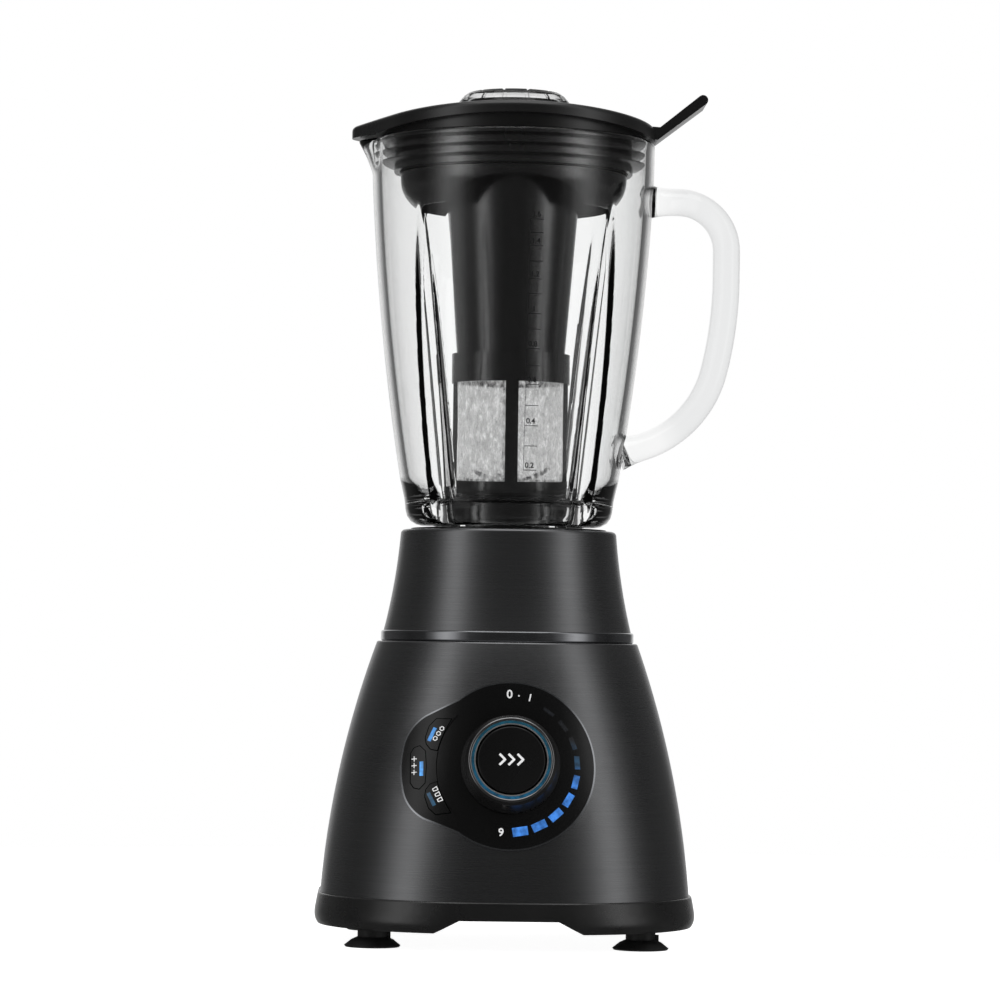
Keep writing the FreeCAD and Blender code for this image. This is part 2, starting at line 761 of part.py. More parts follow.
def make_jug():
    """One piece of pressed glass: bowl with four flutes, spout, grip and threaded neck."""
    outside = jug_form(0, jug_z0, 8)
    inside = jug_form(jug_wall, jug_floor_z, 6).fuse(disc(68.2, jug_rim_z - 5, jug_rim_z + 3))
    for side in (-1, 1):
        for back in (0, 180):
            degrees = -90 + side * flute_angle + back
            outside = outside.cut(turned(flute(9.0, 5.0), degrees))
            inside = inside.cut(turned(flute(12.6, 5.0), degrees))
    spout = cone(5.0, 14.5, 392, jug_rim_z, -65.8, 0)
    channel = cone(1.2, 10.7, 392, jug_rim_z + 0.001, -65.8, 0)
    neck = ring(neck_r, neck_bore_r, neck_z0, jug_z0 + 1)
    body = outside.fuse([spout, make_handle(), neck])
    body = body.cut(inside).cut(channel)
    return body.cut(disc(neck_bore_r, neck_z0 - 1, jug_floor_z + 4))


def make_jug_collar():
    """Ring nut that clamps the blade unit to the glass neck, with grip ribs."""
    body = ring(42.6, neck_r + 0.1, 193, 208.6)
    ledge = ring(42.6, 24, 189, 193)
    rib = block(42, 43.7, -1.5, 1.5, 189, 207)
    return fuse([body, ledge] + around(rib, 16, 11.25))


def make_blade_base():
    flange = disc(neck_r - 0.4, 193, 197)
    plug = disc(neck_bore_r - 0.3, 197, 210)
    boss = cone(13, 10.5, 210, 222)
    body = fuse([flange, plug, boss])
    cup = ring(26, 12, 190, 205)
    return body.cut(cup).cut(disc(8, 190, 224))


# ---------------------------------------------------------------- blades
def blade_wing(length, width, z, tip_z):
    """Cutting wing: tapering plate, flat at the hub and bent up or down to the tip."""
    hub, tip = 8.0, length
    t = 1.4
    low = [V(0, -width, z), V(hub, -width, z), V(hub, width, z), V(0, width, z)]
    plate = Part.Face(Part.makePolygon(low + [low[0]])).extrude(V(0, 0, t))
    section_in = Part.makePolygon([
        V(hub - 0.4, -width, z), V(hub - 0.4, width, z), V(hub - 0.4, width, z + t),
        V(hub - 0.4, -width, z + t), V(hub - 0.4, -width, z)])
    w = width * 0.35
    section_out = Part.makePolygon([
        V(tip, -w, tip_z), V(tip, w, tip_z), V(tip, w, tip_z + 0.7), V(tip, -w, tip_z + 0.7),
        V(tip, -w, tip_z)])
    return plate.fuse(Part.makeLoft([section_in, section_out], True, True))


def make_blade_star(z, tips, length):
    wings = []
    for i, tip_z in enumerate(tips):
        wings.append(turned(blade_wing(length, 5.5, z, tip_z), 360.0 * i / len(tips)))
    return fuse(wings + [disc(8, z, z + 1.4)]).cut(disc(shaft_r, z - 5, z + 5))


# ---------------------------------------------------------------- filter
def make_filter_frame():
    """Insert: ring foot, cage with four windows, collar, tapering tube, arched funnel skirt."""
    wall = 2.0
    tube = cone(filter_tube_low_r, filter_tube_top_r, filter_tube_low_z, filter_top_z - 3)
    tube = tube.cut(cone(filter_tube_low_r - wall, filter_tube_top_r - wall,
                         filter_tube_low_z, filter_top_z - 3))
    plate = ring(58.2, filter_tube_top_r - wall, filter_top_z - 3, filter_top_z)
    outer = spin([
        line(V(0, 0, 373.5), V(49.5, 0, 373.5)),
        arc(V(49.5, 0, 373.5), V(55.4, 0, 379.2), V(58.2, 0, filter_top_z - 1)),
        line(V(58.2, 0, filter_top_z - 1), V(0, 0, filter_top_z - 1)),
        line(V(0, 0, filter_top_z - 1), V(0, 0, 373.5)),
    ])
    hollow = spin([
        line(V(0, 0, 372), V(47.6, 0, 372)),
        arc(V(47.6, 0, 372), V(53.4, 0, 379.6), V(56.2, 0, filter_top_z - 2)),
        line(V(56.2, 0, filter_top_z - 2), V(0, 0, filter_top_z - 2)),
        line(V(0, 0, filter_top_z - 2), V(0, 0, 372)),
    ])
    skirt = outer.cut(hollow)
    arch_half = filter_tube_top_r + 0.6
    arch = Part.makeCylinder(arch_half, 140, V(0, -70, 0), V(0, 1, 0))
    squash = FreeCAD.Matrix()
    squash.scale(1, 1, 0.44)
    arch = arch.transformGeometry(squash)
    arch.translate(V(0, 0, 371.0))
    skirt = skirt.cut(arch)
    collar = ring(cage_r + 0.8, filter_tube_low_r - wall, window_z1 - 1, filter_tube_low_z)
    foot = ring(cage_r + 0.5, cage_r - 2.6, filter_foot_z, window_z0)
    steps = [ring(cage_r + 1.1, cage_r - 1, z, z + 1.4) for z in (218.5, 226.5)]
    post = block(cage_r - 2.4, cage_r, -3.2, 3.2, window_z0 - 1, window_z1 + 1)
    posts = [p.common(ring(cage_r, cage_r - 2.2, window_z0 - 2, window_z1 + 2))
             for p in around(post.fuse(block(cage_r - 1, cage_r + 1, -3.2, 3.2, 235, 280)), 4)]
    return fuse([tube, plate, skirt, collar, foot] + steps + posts)


def make_filter_mesh():
    return ring(cage_r - 2.25, cage_r - 2.75, window_z0, window_z1 - 1)


# ---------------------------------------------------------------- lid and cap
def crowned(r, crown_z, bend, beaked=False):
    """Everything under a surface that is highest along the middle and bends down towards +X and -X."""
    centre = V(0, 0, crown_z - bend)
    dome = Part.makeCylinder(bend, 2 * r + 20, centre - V(0, r + 10, 0), V(0, 1, 0))
    dome.rotate(centre, V(0, 1, 0), 180)
    plan = beak_plan(crown_z - 32, crown_z + 1) if beaked else disc(r, crown_z - 32, crown_z + 1)
    return plan.common(dome)


def beak_plan(z0, z1):
    """Round plan of the lid drawn out into a beak towards -X by lines that touch both circles."""
    touch = math.acos((lid_r - lid_beak_r) / lid_beak_x)
    c, s = math.cos(touch), math.sin(touch)
    big_low, big_high = V(-lid_r * c, -lid_r * s, z0), V(-lid_r * c, lid_r * s, z0)
    tip_low = V(-lid_beak_x - lid_beak_r * c, -lid_beak_r * s, z0)
    tip_high = V(-lid_beak_x - lid_beak_r * c, lid_beak_r * s, z0)
    outline = Part.Wire([
        arc(big_low, V(lid_r, 0, z0), big_high), line(big_high, tip_high),
        arc(tip_high, V(-lid_beak_x - lid_beak_r, 0, z0), tip_low), line(tip_low, big_low),
    ])
    return Part.Face(outline).extrude(V(0, 0, z1 - z0))


def make_lid_plate():
    """Rounded plate whose rim droops towards the beak and the tab."""
    plate = crowned(lid_r, lid_z1, lid_top_bend, True)
    under = crowned(lid_r + 20, lid_rim_z, lid_under_bend)
    under = under.fuse(disc(lid_r + 20, lid_rim_z - 32, lid_z0 + 0.4))
    plate = plate.cut(under)
    top = max(plate.Faces, key=lambda f: f.BoundBox.ZMax * 10 + f.Area / 1000)
    return plate.makeFillet(lid_rim_round, top.OuterWire.Edges)


def make_lid_tab():
    """Straight pull tab that rises outwards, with a rolled grip edge."""
    tip_x, tip_z, roll = 96.2, 430.3, 2.6
    pts = [(64, 410.6), (73.2, 409.4), (98.1, 428.5), (94.5, 432.3), (74.4, 416.0), (64, 416.6)]
    wire = Part.makePolygon([V(x, 0, z) for x, z in pts + pts[:1]])
    tab = Part.Face(wire).extrude(V(0, 2 * lid_tab_half, 0))
    tab.translate(V(0, -lid_tab_half, 0))
    grip = Part.makeCylinder(roll, 2 * lid_tab_half, V(tip_x, -lid_tab_half, tip_z), V(0, 1, 0))
    return tab.fuse(grip)


def make_lid():
    """Lid with a drooping rounded rim drawn out into a beak, plug, pull tab and filler neck."""
    plug = ring(lid_plug_r, lid_skirt_r - 2.4, lid_z0, lid_z1)
    skirt = ring(lid_skirt_r, lid_skirt_r - 2.4, lid_skirt_z, lid_z0 + 1)
    neck = ring(filler_r + 2.4, filler_r - 0.1, lid_z0 - 5, lid_z1)
    inner = plug.fuse(skirt).fuse(neck).common(crowned(lid_r + 5, lid_z1 - 2, lid_top_bend + 40))
    body = make_lid_plate().fuse(inner).fuse(make_lid_tab())
    return body.cut(disc(filler_r, lid_z0 - 6, lid_z1 + 1))


def make_lid_gasket():
    """Soft seal round the lid's skirt, with three thin lips."""
    body = ring(61.4, lid_skirt_r, lid_skirt_z + 0.6, lid_z0 - 0.4)
    lips = []
    for z in (394.4, 399.4, 404.4):
        lips.append(lathe([(60.5, z), (lid_seal_r, z + 1.2), (lid_seal_r, z + 1.8), (60.5, z + 1.2)]))
    return fuse([body] + lips)


def make_cap():
    """Clear measuring cup that closes the filler hole: notched stepped top, flange, straight skirt."""
    neck = filler_r - 0.35
    wall = 2.4
    pts = [
        V(0, 0, cap_top_z - 1.2), V(20.0, 0, cap_top_z - 1.2), V(21.0, 0, cap_top_z),
        V(24.0, 0, cap_top_z), V(26.0, 0, cap_top_z - 1.4), V(28.4, 0, cap_top_z - 4.2),
        V(cap_r, 0, cap_top_z - 7), V(cap_r, 0, lid_z1 + 0.3), V(neck, 0, lid_z1 + 0.3),
        V(neck - 0.4, 0, lid_skirt_z + 2), V(neck - wall, 0, lid_skirt_z + 2),
        V(neck - 2.2, 0, cap_top_z - 5.4), V(22, 0, cap_top_z - 3.4), V(0, 0, cap_top_z - 3.4),
    ]
    body = spin([line(pts[i - 1], pts[i]) for i in range(len(pts))])
    notch = block(20, 27, -0.9, 0.9, cap_top_z - 0.8, cap_top_z + 1)
    return body.cut(fuse(around(notch, 12, 15)))


# ---------------------------------------------------------------- files
save("base_plinth", make_plinth())
save("suction_feet", make_feet())
save("lower_housing", make_lower_housing())
save("chrome_ring", make_chrome_ring())
save("upper_housing", make_upper_housing())
save("jug_seat", make_jug_seat())
save("drive_seal", ring(18.9, 17.2, seat_floor_z - 1, seat_floor_z + 2))
save("control_fascia", make_fascia())
save("panel_trim", make_panel_trim())
save("led_segments", make_leds())
save("control_board", make_control_board())
save("speed_encoder", make_encoder())
save("motor_stator", make_stator())
save("field_coils", make_coils())
save("upper_bracket", make_bracket(127, 133, 11, 46, 0.4))
save("lower_bracket", make_bracket(47, 53, 9, 44, 3))
save("upper_bearing", ring(11, shaft_r + fit, 127, 135))
save("lower_bearing", ring(9, shaft_r + fit, 46.5, 53.5))
save("brush_holders", make_brushes())
save("carbon_brushes", make_carbons())
save("motor_bushes", make_bushes())
save("fan_duct", make_duct())
save("power_board", make_power_board())
save("interlock_switch", make_interlock_switch())
save("cord_gland", make_gland())
save("housing_screws", make_screws())

save("motor_shaft", disc(shaft_r, 30, 167.5))
save("rotor_core", make_rotor_core())
save("commutator", make_commutator())
save("cooling_fan", make_fan())
save("drive_coupler", make_drive_coupler())

save("knob_body", make_knob())
knob_trim, knob_light, knob_inner = make_knob_rings()
save("knob_trim_ring", knob_trim)
save("knob_light_ring", knob_light)
save("knob_inner_ring", knob_inner)
save("turbo_button", make_turbo())
save("turbo_spring", make_turbo_spring())
for key_name, key_outline in key_outlines().items():
    save(key_name + "_key", make_key(key_name, key_outline))
    save(key_name + "_light", make_key_light(key_name))
save("interlock_plunger", make_plunger())

save("glass_jug", make_jug())
save("jug_collar", make_jug_collar())
save("jug_gasket", ring(neck_r - 0.4, neck_bore_r + 0.2, 197, neck_z0))
save("blade_base", make_blade_base())
save("blade_bush", ring(8, shaft_r + fit, 200, 222))

save("blade_shaft", disc(shaft_r, 173, 238))
save("lower_blade", make_blade_star(226.0, (222.4, 233.5), 25.5))
save("upper_blade", turned(make_blade_star(229.0, (226.5, 240.0, 226.5, 240.0), 25.0), 50))
save("blade_nut", ring(6.5, shaft_r, 231.6, 237.0))
save("driven_coupler", make_driven_coupler())

save("filter_frame", make_filter_frame())
save("filter_mesh", make_filter_mesh())
save("lid_cover", make_lid())
save("lid_gasket", make_lid_gasket())
save("measuring_cap", make_cap())
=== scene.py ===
import json
import math

import bmesh
import bpy
from mathutils import Matrix, Vector
from mathutils.bvhtree import BVHTree


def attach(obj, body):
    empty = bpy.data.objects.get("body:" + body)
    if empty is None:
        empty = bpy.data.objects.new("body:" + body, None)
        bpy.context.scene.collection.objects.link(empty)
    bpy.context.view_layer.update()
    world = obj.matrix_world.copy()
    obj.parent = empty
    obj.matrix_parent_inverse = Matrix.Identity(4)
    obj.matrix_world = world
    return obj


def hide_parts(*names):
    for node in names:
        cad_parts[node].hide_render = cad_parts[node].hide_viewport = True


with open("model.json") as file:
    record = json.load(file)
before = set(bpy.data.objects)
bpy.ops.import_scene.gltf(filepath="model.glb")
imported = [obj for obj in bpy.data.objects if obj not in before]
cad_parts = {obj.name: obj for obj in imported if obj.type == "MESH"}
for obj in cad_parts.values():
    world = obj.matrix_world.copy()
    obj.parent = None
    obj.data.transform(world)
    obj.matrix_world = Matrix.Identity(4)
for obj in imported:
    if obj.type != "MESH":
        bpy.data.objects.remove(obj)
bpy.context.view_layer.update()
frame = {"nodes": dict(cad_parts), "record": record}
nodes = frame["nodes"]
MM = 0.001
GRIP_START = 0.076       # the grip lies beyond this x, in metres


# ------------------------------------------------------------------ materials
class Shader:
    """Small helper that builds one Principled material from nodes."""

    def __init__(self, name, **sockets):
        self.material = bpy.data.materials.new(name)
        self.material.use_nodes = True
        self.tree = self.material.node_tree
        self.bsdf = self.tree.nodes["Principled BSDF"]
        for socket, value in sockets.items():
            self.bsdf.inputs[socket.replace("_", " ")].default_value = value
        self.coords = None

    def node(self, kind, **settings):
        made = self.tree.nodes.new("ShaderNode" + kind)
        for key, value in settings.items():
            if hasattr(made, key):
                setattr(made, key, value)
            else:
                made.inputs[key.replace("_", " ")].default_value = value
        return made

    def link(self, source, target):
        self.tree.links.new(source, target)

    def place(self, scale=(1, 1, 1)):
        """Object coordinates in metres, stretched by scale."""
        if self.coords is None:
            self.coords = self.node("TexCoord")
        mapping = self.node("Mapping")
        mapping.inputs["Scale"].default_value = scale
        self.link(self.coords.outputs["Object"], mapping.inputs["Vector"])
        return mapping.outputs["Vector"]

    def noise(self, scale, stretch=(1, 1, 1), detail=3.0, rough=0.5):
        made = self.node("TexNoise", Scale=scale, Detail=detail, Roughness=rough)
        self.link(self.place(stretch), made.inputs["Vector"])
        return made.outputs["Fac"]

    def ramp(self, source, low, high, start=0.0, end=1.0):
        """Remaps source from start..end to low..high, as a number."""
        made = self.node("MapRange")
        made.inputs["From Min"].default_value = start
        made.inputs["From Max"].default_value = end
        made.inputs["To Min"].default_value = low
        made.inputs["To Max"].default_value = high
        self.link(source, made.inputs["Value"])
        return made.outputs["Result"]

    def colours(self, source, *stops):
        made = self.node("ValToRGB")
        points = made.color_ramp.elements
        while len(points) < len(stops):
            points.new(0.5)
        for point, (position, colour) in zip(points, stops):
            point.position = position
            point.color = (*colour, 1.0)
        self.link(source, made.inputs["Fac"])
        return made.outputs["Color"]

    def bump(self, height, strength, distance, below=None):
        made = self.node("Bump", Strength=strength, Distance=distance)
        self.link(height, made.inputs["Height"])
        if below is not None:
            self.link(below, made.inputs["Normal"])
        return made.outputs["Normal"]

    def set(self, socket, source):
        self.link(source, self.bsdf.inputs[socket])
        return self


def grey(value, tint=0.0):
    return (value, value, value * (1 + tint))


def brushed_titanium():
    """Dark titanium-coloured steel with fine horizontal brushing."""
    s = Shader("brushed_titanium", Metallic=1.0, Anisotropic=0.4)
    fine = s.noise(1.0, (90, 90, 11000), 4.0, 0.65)
    broad = s.noise(1.0, (25, 25, 2600), 2.0, 0.5)
    cloud = s.noise(22.0, detail=2.0)
    s.set("Base Color", s.colours(broad, (0.2, (0.205, 0.207, 0.212)), (0.8, (0.245, 0.247, 0.252))))
    mix = s.node("Math", operation="MULTIPLY_ADD")
    s.link(fine, mix.inputs[0])
    mix.inputs[1].default_value = 0.1
    s.link(s.ramp(cloud, 0.2, 0.26), mix.inputs[2])
    s.set("Roughness", mix.outputs[0])
    tangent = s.node("Tangent", direction_type="RADIAL", axis="Z")
    s.link(tangent.outputs["Tangent"], s.bsdf.inputs["Tangent"])
    s.set("Normal", s.bump(fine, 0.22, 0.00003, s.bump(broad, 0.05, 0.00006)))
    return s.material


def textured_plastic(name="textured_plastic"):
    """Black moulding with a spark-eroded grain and a slight sheen."""
    s = Shader(name, IOR=1.85)
    grain = s.noise(2600.0, detail=2.0, rough=0.6)
    wear = s.noise(40.0, detail=4.0)
    s.set("Base Color", s.colours(wear, (0.3, grey(0.004)), (0.8, grey(0.008))))
    s.set("Roughness", s.ramp(wear, 0.22, 0.34))
    s.set("Normal", s.bump(grain, 0.35, 0.00012))
    return s.material


def satin_plastic(name, base=0.005, low=0.2, high=0.3, ior=1.5):
    """Smooth black moulding with faint flow marks and a fine grain."""
    s = Shader(name, IOR=ior)
    flow = s.noise(30.0, (1, 1, 0.35), 3.0)
    grain = s.noise(1900.0, detail=2.0)
    s.set("Base Color", s.colours(flow, (0.3, grey(base * 0.8)), (0.7, grey(base * 1.25))))
    s.set("Roughness", s.ramp(flow, low, high, 0.3, 0.7))
    s.set("Normal", s.bump(grain, 0.08, 0.00005))
    return s.material


def rubber(name="black_rubber"):
    s = Shader(name, IOR=1.48)
    dust = s.noise(160.0, detail=5.0, rough=0.65)
    s.set("Base Color", s.colours(dust, (0.35, grey(0.007)), (0.8, grey(0.02))))
    s.set("Roughness", s.ramp(dust, 0.42, 0.62))
    s.set("Normal", s.bump(s.noise(1500.0), 0.15, 0.0001))
    return s.material


def metal(name, colour, low, high, stretch=(1, 1, 1), scale=300.0, strength=0.1):
    """Plain metal with directional finishing marks."""
    s = Shader(name, Metallic=1.0)
    marks = s.noise(scale, stretch, 4.0, 0.6)
    darker = tuple(c * 0.86 for c in colour)
    s.set("Base Color", s.colours(marks, (0.3, darker), (0.7, colour)))
    s.set("Roughness", s.ramp(marks, low, high, 0.3, 0.7))
    s.set("Normal", s.bump(marks, strength, 0.00005))
    return s.material


def clear(name, ior, low, high, waviness):
    """Clear glass or plastic with a faintly uneven surface; beyond GRIP_START in x it gets a grey tint,
    painted shade for the darker look of the thick grip.
    """
    s = Shader(name, IOR=ior, Transmission_Weight=1.0, Specular_IOR_Level=0.25)
    waves = s.noise(28.0, (1, 1, 0.4), 2.0)
    split = s.node("SeparateXYZ")
    s.link(s.place(), split.inputs[0])
    # painted shade: a mask for the grip, where the glass is tinted grey to look darker
    grip = s.ramp(split.outputs["X"], 0.0, 1.0, GRIP_START, GRIP_START + 0.012)
    tint = s.node("Mix", data_type="RGBA")
    s.link(grip, tint.inputs["Factor"])
    s.link(s.colours(waves, (0.3, (0.985, 0.992, 0.99)), (0.7, (1.0, 1.0, 1.0))), tint.inputs[6])
    # painted shade: the grey given to the grip
    tint.inputs[7].default_value = (0.885, 0.89, 0.892, 1)
    s.link(tint.outputs[2], s.bsdf.inputs["Base Color"])
    s.set("Roughness", s.ramp(waves, low, high, 0.3, 0.7))
    s.set("Normal", s.bump(waves, waviness, 0.0008))
    return s.material


def light_guide(name, dim, middle, bright, z_dim, z_bright):
    """Lit light guide with a patchy glow, dim at height z_dim and bright at z_bright (metres)."""
    s = Shader(name, Roughness=0.12, IOR=1.5, Emission_Strength=1.0, Coat_Weight=1.0)
    split = s.node("SeparateXYZ")
    s.link(s.place(), split.inputs[0])
    level = s.ramp(split.outputs["Z"], 0.0, 1.0, z_dim, z_bright)
    glow = s.ramp(s.noise(330.0, detail=3.0), 0.45, 1.2, 0.32, 0.68)
    lit = s.node("VectorMath", operation="SCALE")
    s.link(s.colours(level, (0.0, dim), (0.55, middle), (1.0, bright)), lit.inputs[0])
    s.link(glow, lit.inputs["Scale"])
    s.set("Emission Color", lit.outputs["Vector"])
    s.set("Base Color", s.colours(glow, (0.0, grey(0.004)), (1.0, grey(0.02))))
    return s.material


def strainer_mesh_painted_glints():
    """Woven steel sieve with tiny see-through holes between the wires; the wires carry a noisy pattern of
    bright and dark spots, partly their own tone and partly painted glints given by emission.
    """
    # painted glints: the wires glow through emission, so they look lit whatever the lamps do
    s = Shader("steel_mesh", Metallic=0.5, Emission_Strength=0.55)
    split = s.node("SeparateXYZ")
    s.link(s.place(), split.inputs[0])

    def wave(source, turns):
        scaled = s.node("Math", operation="MULTIPLY")
        s.link(source, scaled.inputs[0])
        scaled.inputs[1].default_value = turns * 2 * math.pi
        sine = s.node("Math", operation="SINE")
        s.link(scaled.outputs[0], sine.inputs[0])
        return sine.outputs[0]

    around = s.node("Math", operation="ARCTAN2")
    s.link(split.outputs["Y"], around.inputs[0])
    s.link(split.outputs["X"], around.inputs[1])
    weave = s.node("Math", operation="MULTIPLY")
    s.link(wave(around.outputs[0], 37.0), weave.inputs[0])
    s.link(wave(split.outputs["Z"], 1300.0), weave.inputs[1])
    speckle_and_glint = s.noise(520.0, (1, 1, 0.4), 4.0, 0.75)
    # painted glints: the emission colour is bright where the spot pattern is bright
    s.set("Emission Color", s.colours(speckle_and_glint, (0.36, grey(0.05)), (0.66, grey(1.0))))
    mixed = s.node("Math", operation="MULTIPLY_ADD")
    s.link(weave.outputs[0], mixed.inputs[0])
    mixed.inputs[1].default_value = 0.16
    s.link(speckle_and_glint, mixed.inputs[2])
    s.set("Alpha", s.ramp(mixed.outputs[0], 0.1, 0.7, 0.3, 0.7))
    s.set("Base Color", s.colours(speckle_and_glint, (0.36, grey(0.3)), (0.64, grey(0.98))))
    s.set("Roughness", s.ramp(speckle_and_glint, 0.25, 0.45))
    s.set("Normal", s.bump(mixed.outputs[0], 0.6, 0.0002))
    return s.material


def coloured(name, colour, low, high, metallic=0.0, scale=400.0):
    s = Shader(name, Metallic=metallic, IOR=1.5)
    marks = s.noise(scale, detail=3.0)
    s.set("Base Color", s.colours(marks, (0.3, tuple(c * 0.8 for c in colour)), (0.7, colour)))
    s.set("Roughness", s.ramp(marks, low, high, 0.3, 0.7))
    s.set("Normal", s.bump(marks, 0.15, 0.0001))
    return s.material


MATERIALS = {
    "dark_brushed_metal": brushed_titanium(),
    "black_textured_plastic": textured_plastic(),
    "black_satin_plastic": satin_plastic("satin_plastic"),
    "black_gloss_plastic": satin_plastic("gloss_plastic", 0.004, 0.1, 0.18),
    "black_rubber": rubber(),
    "bright_trim": metal("bright_trim", (0.62, 0.63, 0.65), 0.08, 0.2, (1, 1, 20), 120.0),
    "clear_glass": clear("clear_glass", 1.5, 0.0, 0.012, 0.06),
    "clear_plastic": clear("clear_plastic", 1.49, 0.02, 0.07, 0.05),
    "blue_light_guide": light_guide(
        "speed_lights", (0.0, 0.001, 0.003), (0.006, 0.05, 0.11), (0.05, 0.24, 0.76), 0.104, 0.081),
    "steel_mesh": strainer_mesh_painted_glints(),
    "steel_parts": metal("steel_parts", (0.6, 0.6, 0.61), 0.2, 0.35, (1, 1, 30), 60.0),
    "coated_blade_steel": metal("coated_blade", (0.13, 0.13, 0.14), 0.22, 0.36, (12, 1, 1), 90.0),
    "bronze": metal("bronze", (0.55, 0.36, 0.17), 0.35, 0.5),
    "copper_winding": metal("copper_winding", (0.7, 0.3, 0.14), 0.25, 0.4, (1, 1, 30), 80.0),
    "motor_laminations": metal("motor_laminations", (0.25, 0.25, 0.27), 0.4, 0.55, (1, 1, 60), 40.0),
    "cast_bracket": metal("cast_bracket", (0.6, 0.61, 0.62), 0.45, 0.6),
    "circuit_board": coloured("circuit_board", (0.02, 0.2, 0.08), 0.3, 0.45),
    "carbon": coloured("carbon", (0.03, 0.03, 0.03), 0.5, 0.7),
}


def dress(node, material):
    mesh = nodes[node].data
    mesh.materials.clear()
    mesh.materials.append(material)


for part in frame["record"]["subparts"]:
    dress(part["node"], MATERIALS[part["material_slot"]])
key_glow = light_guide(
    "key_glow", (0.03, 0.27, 0.72), (0.045, 0.32, 0.84), (0.06, 0.38, 0.95), 0.11, 0.09)
dress("crush_light", key_glow)
dress("clean_light", key_glow)
dress("smoothie_light", light_guide(
    "dim_glow", (0.01, 0.1, 0.2), (0.01, 0.08, 0.17), (0.01, 0.07, 0.14), 0.09, 0.07))
dress("knob_light_ring", light_guide(
    "ring_glow", (0.0, 0.06, 0.1), (0.0, 0.07, 0.13), (0.0, 0.09, 0.19), 0.11, 0.075))
dress("knob_trim_ring", metal("knob_trim", (0.36, 0.36, 0.365), 0.1, 0.2, (1, 1, 8), 120.0))
dress("knob_inner_ring", metal("knob_inner_trim", (0.9, 0.9, 0.9), 0.32, 0.45, (1, 1, 8), 120.0))
dress("chrome_ring", metal("seam_trim", (0.34, 0.345, 0.36), 0.06, 0.14, (1, 1, 20), 120.0))
dress("panel_trim", metal("dark_trim", (0.42, 0.43, 0.45), 0.08, 0.16, (1, 1, 8), 120.0))
dress("filter_frame", satin_plastic("tube_plastic", 0.004, 0.12, 0.24, 2.3))
dress("lid_gasket", satin_plastic("seal_rubber", 0.008, 0.16, 0.3, 2.5))
dress("lid_cover", satin_plastic("lid_plastic", 0.006, 0.26, 0.36, 1.8))


# ------------------------------------------------------------------ the glass jug
def circle_through(points):
    """Circle through three (z, r) points: centre z, centre r, radius."""
    (ax, ay), (bx, by), (cx, cy) = points
    d = 2 * (ax * (by - cy) + bx * (cy - ay) + cx * (ay - by))
    a2, b2, c2 = ax * ax + ay * ay, bx * bx + by * by, cx * cx + cy * cy
    ux = (a2 * (by - cy) + b2 * (cy - ay) + c2 * (ay - by)) / d
    uy = (a2 * (cx - bx) + b2 * (ax - cx) + c2 * (bx - ax)) / d
    return ux, uy, math.hypot(ax - ux, ay - uy)


WALL_LOW, WALL_HIGH = 234.5, 388.0      # heights between which the wall is one arc, in mm
JUG_ARC = circle_through(((WALL_LOW, 56.0), (300.0, 65.2), (WALL_HIGH, 72.3)))
JUG_WALL = 4.5
FLUTE_ANGLES = (-132, -48, 48, 132)
FLUTE_LOW, FLUTE_HIGH = 206.0, 372.0
SPOUT_ANGLE = 180
SPOUT_START, RIM_Z = 390.0, 408.0


def jug_radius(z):
    """Outer radius of the glass at height z, all in mm."""
    cz, cr, radius = JUG_ARC
    return cr + math.copysign(1, 60 - cr) * math.sqrt(radius * radius - (z - cz) ** 2)


def apart(a, b):
    return (a - b + 180) % 360 - 180


def fluted(r, degrees, z, inside):
    """Radius with the pressed flutes: rods that lean with the wall and run out upwards."""
    if not FLUTE_LOW <= z <= FLUTE_HIGH + 6:
        return r
    t = (z - FLUTE_LOW) / (FLUTE_HIGH - FLUTE_LOW)
    low, high = jug_radius(FLUTE_LOW) + 5.0, jug_radius(FLUTE_HIGH) + 6.75
    centre = low + (high - low) * t
    rod = (12.6 - 3.15 * t) if inside else (9.0 - 2.25 * t)
    for flute in FLUTE_ANGLES:
        off = math.radians(apart(degrees, flute))
        side = centre * math.sin(off)
        if abs(off) < 0.5 and abs(side) < rod:
            r = min(r, centre * math.cos(off) - math.sqrt(rod * rod - side * side))
    return r


def spouted(r, degrees, z):
    if z <= SPOUT_START:
        return r
    reach = 7.6 * min(1.0, (z - SPOUT_START) / (RIM_Z - SPOUT_START)) ** 1.4
    off = abs(apart(degrees, SPOUT_ANGLE)) / 15.0
    return r + reach * math.cos(min(1.0, off) * math.pi / 2) ** 2


